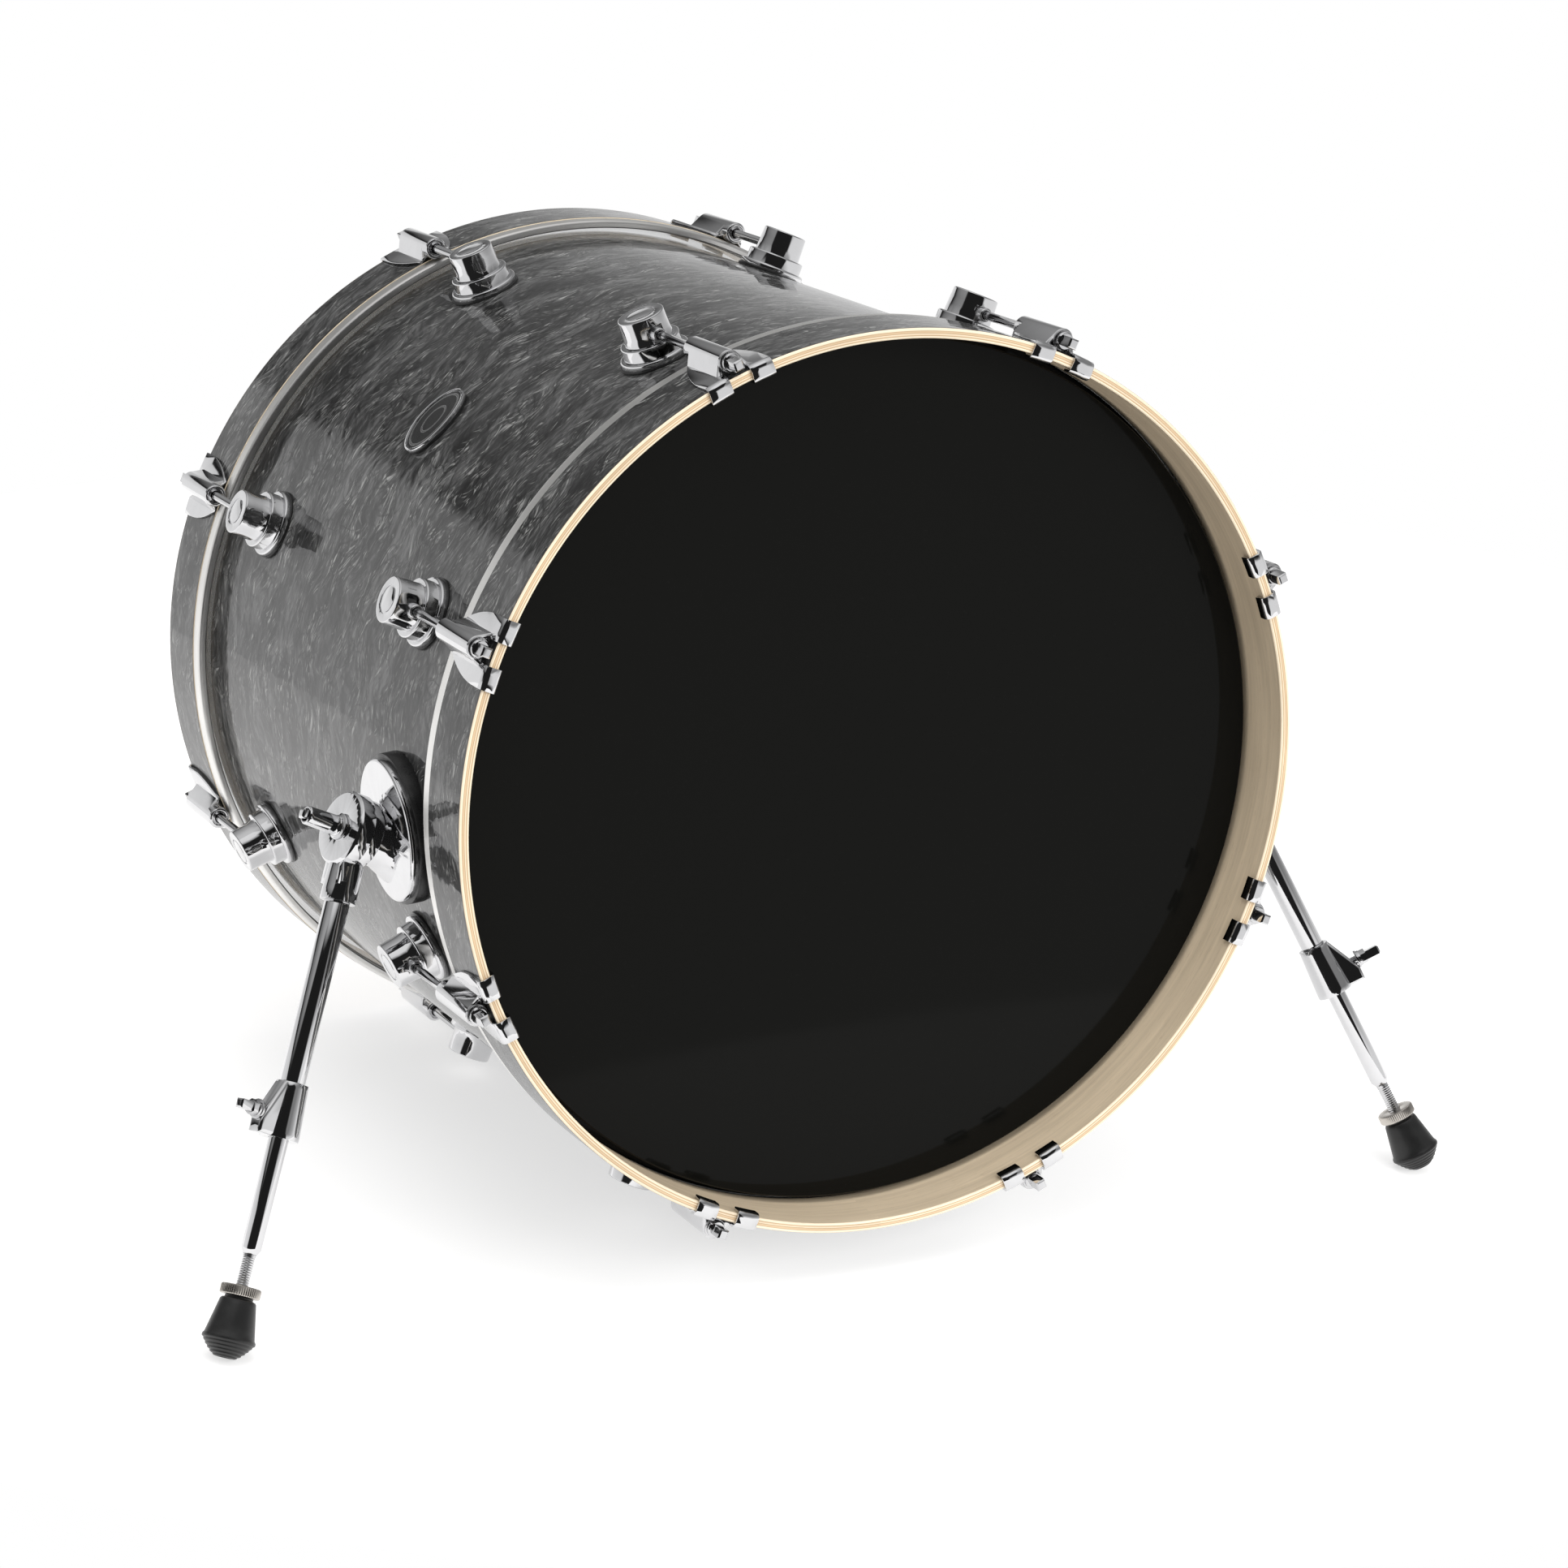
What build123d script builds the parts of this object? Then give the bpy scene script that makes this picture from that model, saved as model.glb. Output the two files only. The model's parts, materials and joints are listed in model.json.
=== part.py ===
from build123d import *

import os
from math import cos, radians, sin, tan

# A 22 by 18 inch bass drum that stands on the rear hoop and on two folding spur legs.
#
# The pieces are modelled in the drum's own frame: the origin is the middle of the drum, the drum's
# axis is Y, the front (resonant) head faces -Y, X is to the right and Z is up.  STANCE then leans
# the whole drum back and lifts it, so that it stands on the plane Z = 0.
# Hardware on the rim is modelled at the top of the drum, where "up" is outward, and turned into place.
# Lengths are millimetres and angles are degrees.

# Shell, its laminate skin and the two heads
SHELL_R = 279.4           # outside the laminate, half of 22 inches
SHELL_WALL = 7.0
HEAD_PLANE = 228.6        # bearing edge from the drum's middle, half of 18 inches
BEARING_FLAT = 0.7
WRAP = 0.6                # laminate thickness
WRAP_END = 226.0          # the laminate stops short of the bearing edge
FILM = 0.4                # head film thickness
FILM_GAP = 0.2            # between the laminate and the film's collar
COLLAR_END = 213.0        # where the film turns out into the flesh hoop

# Wooden hoops and metal flesh hoops
HOOP_R = 290.8
HOOP_WALL = 6.6
HOOP_FACE = 268.0         # front edge from the drum's middle
HOOP_BACK = 218.8
HOOP_CHAMFER = 0.7
HOOP_LIP = 0.9            # bare wood left at the front edge of the hoop's skin
HOOP_BACK_LIP = 0.3
FLESH_OUT_R = 290.3
FLESH_IN_R = 284.8
FLESH_BACK = 207.4
FLESH_BEVEL = 0.8
FLESH_SLOPE = 2.6         # the flesh hoop's outer corner is rolled over by this much

# Lugs
LUG_COUNT = 8
LUG_FIRST_ANGLE = 22.5    # from the right-hand side, turning up
LUG_Y = 139.5
LUG_GASKET = 0.9
LUG_BASE_R = 22.6
LUG_BASE_TOP = 5.0        # heights are above the shell
LUG_STEP_R = 19.4
LUG_STEP_TOP = 13.2
LUG_TOP_R = 15.0
LUG_ROOT_R = 15.8
LUG_HEIGHT = 30.0
LUG_RING_R = 9.5          # plain ring sunk in the lug's flat top
LUG_CAVITY_R = 15.6
LUG_POST_R = 4.6
SCREW_R = 2.4
SCREW_HEAD_R = 4.6
SCREW_HOLE_R = 2.7

# Tension rods, their nuts and washers
ROD_R = 2.9
ROD_AXIS_R = 298.4        # from the drum's axis
ROD_END = 131.0           # inner end, measured along the drum
NUT_R = 4.5
NUT_BORE_R = 3.0
NUT_START = 129.5
NUT_END = 161.5
WASHER_R = 6.8
WASHER_T = 1.6
KEY_SQUARE = 6.4
KEY_END = 274.6

# Claws
CLAW_WALL = 2.6
CLAW_GAP = 0.15           # between the claw and the hoop
CLAW_HALF = 22.3
CLAW_SLOT_HALF = 7.6      # half of the gap between the two hooks
CLAW_WAIST = 11.0         # half width where the wings meet the barrel
CLAW_LIP = 6.0            # reach of the hooks along the hoop's inner wall
BARREL_R = 7.5
BARREL_BACK = 210.0
BARREL_FRONT = 260.0
BARREL_BORE_R = 3.6

# Oval badge on a thick black pad
BADGE_ANGLE = 135.0
BADGE_HALF = (26.5, 20.0)   # around the shell, along the shell
BADGE_RIM = 2.0
BADGE_PAD = 2.2
BADGE_T = 1.4
BADGE_RAISE = 0.7         # height of the rim above the badge's face

# Spur brackets, one on each side of the shell
BRACKET_ANGLE = 185.5
BRACKET_Y = -144.0
BRACKET_HALF = (45.5, 43.0)
BRACKET_GASKET = 6.5
GASKET_MARGIN = 2.6
BRACKET_T = 5.2
BRACKET_SCREW_AT = 30.0
BRACKET_SCREW_SEAT = 3.0  # the washers sit this far in from the wall, where the shell has curved away

# Spur legs.  Distances along a leg are measured down from its pivot.
PIVOT = Vector(-308.4, -140.1, -27.7)
LEG_SPLAY = 23.21         # outward lean
LEG_RAKE = 19.43          # forward lean
DISC_R = 23.5
DISC_IN = 0.9             # inner face of the leg's disc, along the pivot axis from the leg's axis
DISC_OUT = 11.5
MATE_R = 22.0
MATE_BACK = -8.0
DISC_GAP = 0.1
SOCKET_R = 11.3
SOCKET_TOP_R = 10.4
SOCKET_END = 45.0
UPPER_R = 7.95
UPPER_TOP = 24.0
LOWER_R = 6.35
SLIDE_GAP = 0.35          # between the two tubes
LOWER_TOP = 100.0
LOWER_END = 268.2
COLLAR_TOP = 161.0
COLLAR_BOTTOM = 196.0
COLLAR_TOP_R = 10.4
COLLAR_BOTTOM_R = 12.4
COLLAR_STEP = 9.0         # height of the reduced bore under the upper tube
FIN_TURN = 12.0           # the collar's fin points forward of the pivot axis by this angle
FIN_REACH = 22.5
FIN_HALF = 5.6
CLAMP_BOLT_AT = 182.5
SPIKE_R = 4.1
SPIKE_ROOT_R = 3.5
THREAD_PITCH = 1.5
SPIKE_TOP = 258.0
SPIKE_THREAD_TOP = 269.7
LOCK_NUT_R = 12.6
LOCK_NUT_TOP = 288.2
LOCK_NUT_T = 6.2
KNURLS = 56
FOOT_TOP = 294.6
FOOT_RING = 321.15        # widest ring of the rubber foot
FOOT_BORE_R = 4.4

# How the drum stands: leaning back, on the rear edge of the rear hoop and on both feet
TILT = 3.45
STAND_HEIGHT = HOOP_R * cos(radians(TILT)) + (HOOP_FACE - HOOP_CHAMFER) * sin(radians(TILT))
STANCE = Pos(0, 0, STAND_HEIGHT) * Rot(-TILT, 0, 0)

LUG_ANGLES = [LUG_FIRST_ANGLE + 360 / LUG_COUNT * k for k in range(LUG_COUNT)]

LEG_UP = Vector(tan(radians(LEG_SPLAY)), tan(radians(LEG_RAKE)), 1).normalized()
PIVOT_HINT = Vector(-0.91, -0.12, 0.40)
PIVOT_AXIS = (PIVOT_HINT - LEG_UP * PIVOT_HINT.dot(LEG_UP)).normalized()
LEG = Plane(origin=PIVOT, x_dir=PIVOT_AXIS, z_dir=LEG_UP).location


# Building blocks

def turned(outline):
    """Solid of revolution about the drum's axis, from (radius, y) points."""
    return revolve(make_face(Polyline(*outline, close=True)), axis=Axis.Y)


def spindle(outline):
    """Solid of revolution about Z, from (radius, height) points."""
    points = [(radius, 0, height) for radius, height in outline]
    return revolve(make_face(Polyline(*points, close=True)), axis=Axis.Z)


def facing_front(outline):
    """Spindle that lies along a tension rod, with its heights running towards the front."""
    return Pos(0, 0, ROD_AXIS_R) * Rot(90, 0, 0) * spindle(outline)


def disc(radius, low, high):
    """Cylinder about Z between two heights."""
    return Pos(0, 0, (low + high) / 2) * Cylinder(radius, high - low)


def along_x(shape):
    """Lay a piece that was made along Z along X."""
    return Rot(0, 90, 0) * shape


def at_angle(angle, shape):
    """Turn a piece from the top of the drum round to an angle."""
    return Rot(0, 90 - angle, 0) * shape


def to_rear(shape):
    return mirror(shape, about=Plane.XZ)


def to_right(shape):
    return mirror(shape, about=Plane.YZ)


def drum_cylinder(radius):
    """Cylinder about the drum's axis, longer than the drum."""
    return Rot(90, 0, 0) * Cylinder(radius, 2.2 * HOOP_FACE)


def ring_of(shape):
    """Copies of a rim piece at every lug angle."""
    return [at_angle(angle, shape) for angle in LUG_ANGLES]


def rounded_top(shape, radius):
    """Round the edges of a piece's highest flat face."""
    return fillet(shape.faces().sort_by(Axis.Z)[-1].edges(), radius)


# Shell and heads

def wall_holes():
    """Everything that is drilled through the shell and its laminate."""
    lug_hole = disc(SCREW_HOLE_R, SHELL_R - 3 * SHELL_WALL, SHELL_R + SHELL_WALL)
    front = ring_of(Pos(0, -LUG_Y, 0) * lug_hole)
    rear = ring_of(Pos(0, LUG_Y, 0) * lug_hole)
    left = [on_bracket(Pos(side * BRACKET_SCREW_AT, 0, 0) * lug_hole) for side in (-1, 1)]
    right = [to_right(hole) for hole in left]
    return front + rear + left + right


def shell():
    inner = SHELL_R - SHELL_WALL
    outer = SHELL_R - WRAP
    crest = outer - BEARING_FLAT
    bevel = HEAD_PLANE - (crest - BEARING_FLAT - inner)
    half = [(inner, bevel), (crest - BEARING_FLAT, HEAD_PLANE), (crest, HEAD_PLANE),
            (outer, HEAD_PLANE - BEARING_FLAT)]
    outline = half + [(radius, -y) for radius, y in reversed(half)]
    return turned(outline) - wall_holes()


def shell_wrap():
    core = SHELL_R - WRAP
    skin = turned([(core, WRAP_END), (SHELL_R, WRAP_END), (SHELL_R, -WRAP_END), (core, -WRAP_END)])
    return skin - wall_holes()


def front_head():
    """Stretched film with its collar, which turns out into the flesh hoop."""
    top = -HEAD_PLANE
    inner = SHELL_R + FILM_GAP
    outer = inner + FILM
    return turned([
        (0, top - FILM), (outer - 1.0, top - FILM), (outer, top + 1.0 - FILM),
        (outer, -COLLAR_END - FILM), (FLESH_IN_R - 0.1, -COLLAR_END - FILM),
        (FLESH_IN_R - 0.1, -COLLAR_END), (inner, -COLLAR_END), (inner, top + 1.0), (inner - 1.0, top), (0, top),
    ])


def front_flesh_hoop():
    inner, outer, seat, back = FLESH_IN_R, FLESH_OUT_R, -HOOP_BACK + 0.05, -FLESH_BACK
    c, r = FLESH_BEVEL, FLESH_SLOPE
    return turned([
        (inner, seat), (outer, seat), (outer, back - r), (outer - 0.3 * r, back - 0.3 * r), (outer - r, back),
        (inner + c, back), (inner, back - c),
    ])


def front_hoop():
    """Wooden hoop with a shallow recess all round for its laminate skin."""
    inner = HOOP_R - HOOP_WALL
    c = HOOP_CHAMFER
    return turned([
        (inner, -HOOP_FACE + c), (inner + c, -HOOP_FACE), (HOOP_R - c, -HOOP_FACE), (HOOP_R, -HOOP_FACE + c),
        (HOOP_R, -HOOP_FACE + c + HOOP_LIP), (HOOP_R - WRAP, -HOOP_FACE + c + HOOP_LIP),
        (HOOP_R - WRAP, -HOOP_BACK - HOOP_BACK_LIP), (HOOP_R, -HOOP_BACK - HOOP_BACK_LIP),
        (HOOP_R, -HOOP_BACK), (inner, -HOOP_BACK),
    ])


def front_hoop_wrap():
    front = -HOOP_FACE + HOOP_CHAMFER + HOOP_LIP
    back = -HOOP_BACK - HOOP_BACK_LIP
    core = HOOP_R - WRAP
    return turned([(core, front), (HOOP_R, front), (HOOP_R, back), (core, back)])


# Lugs, tension rods and claws

def lug_at_top():
    """Turret lug: a wide base, a step and a tall round head that holds the swivel nut."""
    base = rounded_top(disc(LUG_BASE_R, LUG_GASKET, LUG_BASE_TOP), 1.6)
    step = rounded_top(disc(LUG_STEP_R, LUG_GASKET, LUG_STEP_TOP), 1.2)
    head = spindle([(0, LUG_GASKET), (LUG_ROOT_R, LUG_GASKET), (LUG_ROOT_R, LUG_STEP_TOP),
                    (LUG_TOP_R, LUG_HEIGHT), (0, LUG_HEIGHT)])
    head = rounded_top(head, 1.0)
    ring = disc(LUG_RING_R, LUG_HEIGHT - 0.5, LUG_HEIGHT + 1) - disc(LUG_RING_R - 1.2, 0, LUG_HEIGHT + 2)
    cavity = disc(LUG_CAVITY_R, 0, LUG_STEP_TOP - 2.2) - disc(LUG_POST_R, 0, LUG_STEP_TOP)
    tapped = disc(SCREW_R, 0, LUG_STEP_TOP - 2.2)
    lug = Pos(0, -LUG_Y, SHELL_R) * (base + step + head - ring - cavity - tapped)
    bore = facing_front([(0, NUT_START - 0.5), (NUT_R + 0.1, NUT_START - 0.5),
                         (NUT_R + 0.1, NUT_END), (0, NUT_END)])
    return lug - bore


def lug_gasket_at_top():
    pad = Pos(0, -LUG_Y, 0) * disc(LUG_BASE_R + 0.8, SHELL_R - 3, SHELL_R + LUG_GASKET)
    hole = Pos(0, -LUG_Y, 0) * disc(SCREW_HOLE_R, SHELL_R - 4, SHELL_R + 4)
    return pad - drum_cylinder(SHELL_R) - hole


def lug_nut_at_top():
    """Swivel nut: a threaded sleeve that stands out of the lug towards the hoop."""
    return facing_front([(NUT_BORE_R, NUT_START), (NUT_R, NUT_START), (NUT_R, NUT_END - 0.8),
                         (NUT_R - 0.8, NUT_END), (NUT_BORE_R, NUT_END)])


def screw(length):
    """Pan-head screw with its washer, pointing up from a wall's inner face at height 0."""
    return spindle([
        (0, -4.0), (SCREW_HEAD_R - 1.4, -4.0), (SCREW_HEAD_R, -2.8), (SCREW_HEAD_R, -1.4), (7.0, -1.4), (7.0, -0.3),
        (SCREW_R - 0.1, -0.3), (SCREW_R - 0.1, length), (0, length),
    ])


def lug_screw_at_top():
    return Pos(0, -LUG_Y, SHELL_R - SHELL_WALL) * screw(SHELL_WALL + LUG_STEP_TOP - 4)


def rod_at_top():
    """Key rod: a plain shank, a round flange and a square head for the drum key."""
    seat = BARREL_FRONT + WASHER_T + 0.1
    shank = facing_front([
        (0, ROD_END), (ROD_R - 0.6, ROD_END), (ROD_R, ROD_END + 0.6), (ROD_R, seat), (5.9, seat), (5.9, seat + 1.8),
        (5.0, seat + 2.8), (0, seat + 2.8),
    ])
    square = Box(KEY_SQUARE, KEY_SQUARE, KEY_END - seat - 2)
    square = chamfer(square.faces().sort_by(Axis.Z)[-1].edges(), 1.0)
    head = Pos(0, -(KEY_END + seat + 2) / 2, ROD_AXIS_R) * Rot(90, 0, 0) * square
    return shank + head


def washer_at_top():
    return facing_front([(ROD_R + 0.5, BARREL_FRONT), (WASHER_R, BARREL_FRONT),
                         (WASHER_R, BARREL_FRONT + WASHER_T), (ROD_R + 0.5, BARREL_FRONT + WASHER_T)])


def hook_section():
    """Section of the claw across the hoop: outer plate, rounded front corner and inner lip."""
    skin = HOOP_R + CLAW_GAP
    top = skin + CLAW_WALL
    face = HOOP_FACE + CLAW_GAP
    front = face + CLAW_WALL
    inner = HOOP_R - HOOP_WALL - CLAW_GAP
    bottom = inner - CLAW_WALL
    lip = HOOP_FACE - CLAW_LIP
    big, small = 4.2, 4.0
    edge = Line((skin, -HOOP_BACK), (top, -HOOP_BACK))
    edge += Line((top, -HOOP_BACK), (top, -front + big))
    edge += RadiusArc((top, -front + big), (top - big, -front), big)
    edge += Line((top - big, -front), (bottom + small, -front))
    edge += RadiusArc((bottom + small, -front), (bottom, -front + small), small)
    edge += Polyline((bottom, -front + small), (bottom, -lip), (inner, -lip), (inner, -face), (skin, -face),
                     (skin, -HOOP_BACK))
    return make_face(edge)


def claw_at_top():
    """Claw: a barrel for the rod, and two wings that end in hooks over the hoop's edge."""
    spread = 20
    hook = Rot(0, -90 - spread / 2, 0) * revolve(hook_section(), axis=Axis.Y, revolution_arc=spread)
    front = -HOOP_FACE - 2 * CLAW_WALL
    half = Line((0, front), (CLAW_HALF, front)) + Line((CLAW_HALF, front), (CLAW_HALF, -257))
    half += ThreePointArc((CLAW_HALF, -257), (19.2, -237), (CLAW_WAIST, -HOOP_BACK))
    half += Line((CLAW_WAIST, -HOOP_BACK), (0, -HOOP_BACK))
    outline = make_face(half + mirror(half, about=Plane.YZ))
    wings = hook & Pos(0, 0, HOOP_R - 20) * extrude(outline, 40)
    slot = Pos(0, -BARREL_FRONT - 10, HOOP_R) * Box(2 * CLAW_SLOT_HALF, 20, 40)
    barrel = facing_front([(0, BARREL_BACK), (BARREL_R - 1.2, BARREL_BACK), (BARREL_R, BARREL_BACK + 1.2),
                           (BARREL_R, BARREL_FRONT), (0, BARREL_FRONT)])
    low, shoulder, high = HOOP_R + 0.3, HOOP_R + CLAW_WALL, ROD_AXIS_R + 3.9
    fairing = Plane.XZ * Polygon((-CLAW_WAIST, low), (CLAW_WAIST, low), (CLAW_WAIST, shoulder), (6.4, high),
                                 (-6.4, high), (-CLAW_WAIST, shoulder), align=None)
    fairing = Pos(0, -HOOP_BACK, 0) * extrude(fairing, BARREL_FRONT - HOOP_BACK)
    bore = facing_front([(0, 0), (BARREL_BORE_R, 0), (BARREL_BORE_R, 2 * HOOP_FACE), (0, 2 * HOOP_FACE)])
    return wings - slot + barrel + fairing - bore


# Badge

def badge_plate(half, low, high):
    """Oval plate that follows the shell, between two heights above it."""
    block = extrude(Pos(0, 0, SHELL_R - 20) * Ellipse(*half), 40)
    return block & (drum_cylinder(SHELL_R + high) - drum_cylinder(SHELL_R + low))


def badge():
    """Plate with a raised rim."""
    face = BADGE_PAD + BADGE_T
    plate = badge_plate(BADGE_HALF, BADGE_PAD, face + BADGE_RAISE)
    inner = (BADGE_HALF[0] - BADGE_RIM, BADGE_HALF[1] - BADGE_RIM)
    return at_angle(BADGE_ANGLE, plate - badge_plate(inner, face, face + 3))


def badge_pad():
    half = (BADGE_HALF[0] - 0.3, BADGE_HALF[1] - 0.3)
    return at_angle(BADGE_ANGLE, badge_plate(half, 0.05, BADGE_PAD - 0.05))


# Spur brackets

def on_bracket(shape):
    """Place a piece that was made at the top of the drum on the left bracket's centre."""
    return at_angle(BRACKET_ANGLE, Pos(0, BRACKET_Y, 0) * shape)


def bracket_screw_holes(low, high):
    return [Pos(side * BRACKET_SCREW_AT, 0, 0) * disc(SCREW_R, low, high) for side in (-1, 1)]


def left_bracket():
    """Oval base plate with a tower that carries the fixed half of the leg's clamp."""
    face = SHELL_R + BRACKET_GASKET
    plate = extrude(Pos(0, 0, face) * Ellipse(*BRACKET_HALF), BRACKET_T)
    plate = on_bracket(rounded_top(plate, 1.8))
    mate = along_x(disc(MATE_R, MATE_BACK, DISC_IN - DISC_GAP))
    mate = mate.chamfer(1.0, None, mate.edges().filter_by(GeomType.CIRCLE))
    tower = along_x(spindle([(0, -34), (23, -34), (17.5, -19), (15.5, MATE_BACK), (0, MATE_BACK)]))
    arm = LEG * (mate + tower)
    under = on_bracket(Pos(0, 0, face / 2 + 0.5) * Box(2 * SHELL_R, 2 * SHELL_R, face + 1))
    bolt_hole = LEG * along_x(disc(4.2, MATE_BACK, DISC_OUT))
    screw_holes = [on_bracket(hole) for hole in bracket_screw_holes(face - 1, face + BRACKET_T - 1)]
    return plate + (arm - under) - bolt_hole - screw_holes


def left_bracket_gasket():
    half = (BRACKET_HALF[0] + GASKET_MARGIN, BRACKET_HALF[1] + GASKET_MARGIN)
    face = SHELL_R + BRACKET_GASKET - 0.05
    pad = extrude(Pos(0, 0, SHELL_R - 12) * Ellipse(*half), 12 + BRACKET_GASKET - 0.05)
    pad -= bracket_screw_holes(SHELL_R - 14, face + 1)
    return on_bracket(pad) - drum_cylinder(SHELL_R)


def left_bracket_screws():
    seat = SHELL_R - SHELL_WALL - BRACKET_SCREW_SEAT
    piece = Pos(0, 0, seat) * screw(SHELL_R + BRACKET_GASKET + BRACKET_T - 1.2 - seat)
    return [on_bracket(Pos(side * BRACKET_SCREW_AT, 0, 0) * piece) for side in (-1, 1)]


# Spur legs, built for the left side.  In a leg's own frame Z runs up the leg, X out along the pivot.

def left_knuckle():
    """Outer half of the clamp: a disc with a socket for the upper tube."""
    face = along_x(disc(DISC_R, DISC_IN, DISC_OUT))
    face = face.chamfer(1.6, None, face.edges().sort_by(Axis.X)[-1:])
    socket = spindle([(0, -SOCKET_END), (SOCKET_R, -SOCKET_END), (SOCKET_R, 6 - SOCKET_END), (SOCKET_TOP_R, -8),
                      (0, -8)])
    web = Pos((DISC_IN + 9) / 2, 0, -DISC_R) * Box(9 - DISC_IN, 20, 24)
    room = along_x(disc(MATE_R + 1.0, -3 * DISC_R, DISC_IN))
    tube_seat = disc(UPPER_R + 0.05, -SOCKET_END - 1, -UPPER_TOP + 0.1)
    bolt_hole = along_x(disc(4.2, -DISC_R, 2 * DISC_OUT))
    return LEG * (face + (socket + web - room) - tube_seat - bolt_hole)


def left_pivot_bolt():
    """Key bolt that clamps the two discs: shank, washer, long sleeve and square key end."""
    body = spindle([
        (0, MATE_BACK + 2), (3.9, MATE_BACK + 2), (3.9, DISC_OUT + 0.1), (8.4, DISC_OUT + 0.1), (8.4, DISC_OUT + 1.4),
        (6.8, DISC_OUT + 2.0), (6.8, DISC_OUT + 3.0), (6.2, DISC_OUT + 4.0), (5.9, DISC_OUT + 25.0),
        (5.2, DISC_OUT + 25.8), (4.4, DISC_OUT + 25.8), (4.4, DISC_OUT + 21.0), (0, DISC_OUT + 21.0),
    ])
    square = Pos(0, 0, DISC_OUT + 25.0) * Box(5.6, 5.6, 9.0)
    square = chamfer(square.faces().sort_by(Axis.Z)[-1].edges(), 1.0)
    return LEG * along_x(body + square)


def left_upper_tube():
    low = -COLLAR_BOTTOM + COLLAR_STEP
    return LEG * (disc(UPPER_R, low, -UPPER_TOP) - disc(LOWER_R + SLIDE_GAP, low - 1, 0))


def left_collar():
    """Memory collar: a tapered ring with a fin on the outer side that takes the clamp bolt."""
    ring = spindle([(0, -COLLAR_BOTTOM), (COLLAR_BOTTOM_R, -COLLAR_BOTTOM), (COLLAR_BOTTOM_R, 3 - COLLAR_BOTTOM),
                    (COLLAR_TOP_R, -COLLAR_TOP), (0, -COLLAR_TOP)])
    side = Plane.XZ * Polygon((0, -COLLAR_BOTTOM), (FIN_REACH, -COLLAR_BOTTOM), (FIN_REACH, 9 - COLLAR_BOTTOM),
                              (COLLAR_TOP_R, -COLLAR_TOP - 1), (0, -COLLAR_TOP - 1), align=None)
    fin = Pos(0, FIN_HALF, 0) * extrude(side, 2 * FIN_HALF)
    fin = fillet(fin.edges().filter_by(Axis.Y, reverse=True).sort_by(Axis.X)[-6:], 2.4)
    bore = disc(UPPER_R + 0.05, -COLLAR_BOTTOM + COLLAR_STEP, 0)
    throat = disc(LOWER_R + SLIDE_GAP, -COLLAR_BOTTOM - 1, 0)
    bolt_hole = Pos(0, 0, -CLAMP_BOLT_AT) * along_x(disc(3.2, UPPER_R + 0.6, 2 * FIN_REACH))
    return LEG * Rot(0, 0, FIN_TURN) * (ring + fin - bore - throat - bolt_hole)


def left_collar_bolt():
    """Key bolt in the collar's fin, with its lock washer and hexagon."""
    seat = FIN_REACH + 0.1
    shank = spindle([(0, UPPER_R + 1.0), (2.9, UPPER_R + 1.0), (2.9, seat), (6.2, seat), (6.2, seat + 1.4),
                     (5.4, seat + 1.6), (5.4, seat + 3.2), (0, seat + 3.2)])
    hexagon = Pos(0, 0, seat + 3.0) * extrude(RegularPolygon(5.0, 6), 4.2)
    square = Pos(0, 0, seat + 12.0) * Box(5.8, 5.8, 10.0)
    square = chamfer(square.faces().sort_by(Axis.Z)[-1].edges(), 1.0)
    bolt = Pos(0, 0, -CLAMP_BOLT_AT) * along_x(shank + hexagon + square)
    return LEG * Rot(0, 0, FIN_TURN) * bolt


def left_lower_tube():
    tube = spindle([
        (LOWER_R - 1.4, -LOWER_TOP), (LOWER_R, -LOWER_TOP), (LOWER_R, 3.5 - LOWER_END), (LOWER_R - 2.0, -LOWER_END),
        (SPIKE_R + 0.05, -LOWER_END), (SPIKE_R + 0.05, 10 - LOWER_END), (LOWER_R - 1.4, 10 - LOWER_END),
    ])
    return LEG * tube


def left_spike():
    """Pointed steel spike with its thread drawn as plain ridges."""
    tip = FOOT_RING + 10.2
    thread_end = tip - 7.0
    turns = int((thread_end - SPIKE_THREAD_TOP) / THREAD_PITCH)
    outline = [(0, -SPIKE_TOP), (SPIKE_R, -SPIKE_TOP), (SPIKE_R, -SPIKE_THREAD_TOP)]
    for turn in range(turns):
        crest = SPIKE_THREAD_TOP + (turn + 0.5) * THREAD_PITCH
        outline += [(SPIKE_ROOT_R, 0.25 * THREAD_PITCH - crest), (SPIKE_R, -crest)]
    outline += [(SPIKE_ROOT_R, -thread_end), (0.4, -tip), (0, -tip)]
    return LEG * spindle(outline)


def left_lock_nut():
    """Knurled nut that locks the rubber foot on the spike."""
    rim = [(LOCK_NUT_R - 0.5 * (k % 2), 180 * k / KNURLS) for k in range(2 * KNURLS)]
    knurl = Polygon(*[(r * cos(radians(a)), r * sin(radians(a))) for r, a in rim], align=None)
    low = -LOCK_NUT_TOP - LOCK_NUT_T
    bevel = spindle([(0, low), (LOCK_NUT_R - 0.7, low), (LOCK_NUT_R + 0.1, low + 0.8),
                     (LOCK_NUT_R + 0.1, -LOCK_NUT_TOP - 0.8), (LOCK_NUT_R - 0.7, -LOCK_NUT_TOP), (0, -LOCK_NUT_TOP)])
    nut = extrude(Pos(0, 0, low) * knurl, LOCK_NUT_T) & bevel
    return LEG * (nut - disc(FOOT_BORE_R, low - 1, 0))


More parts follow.
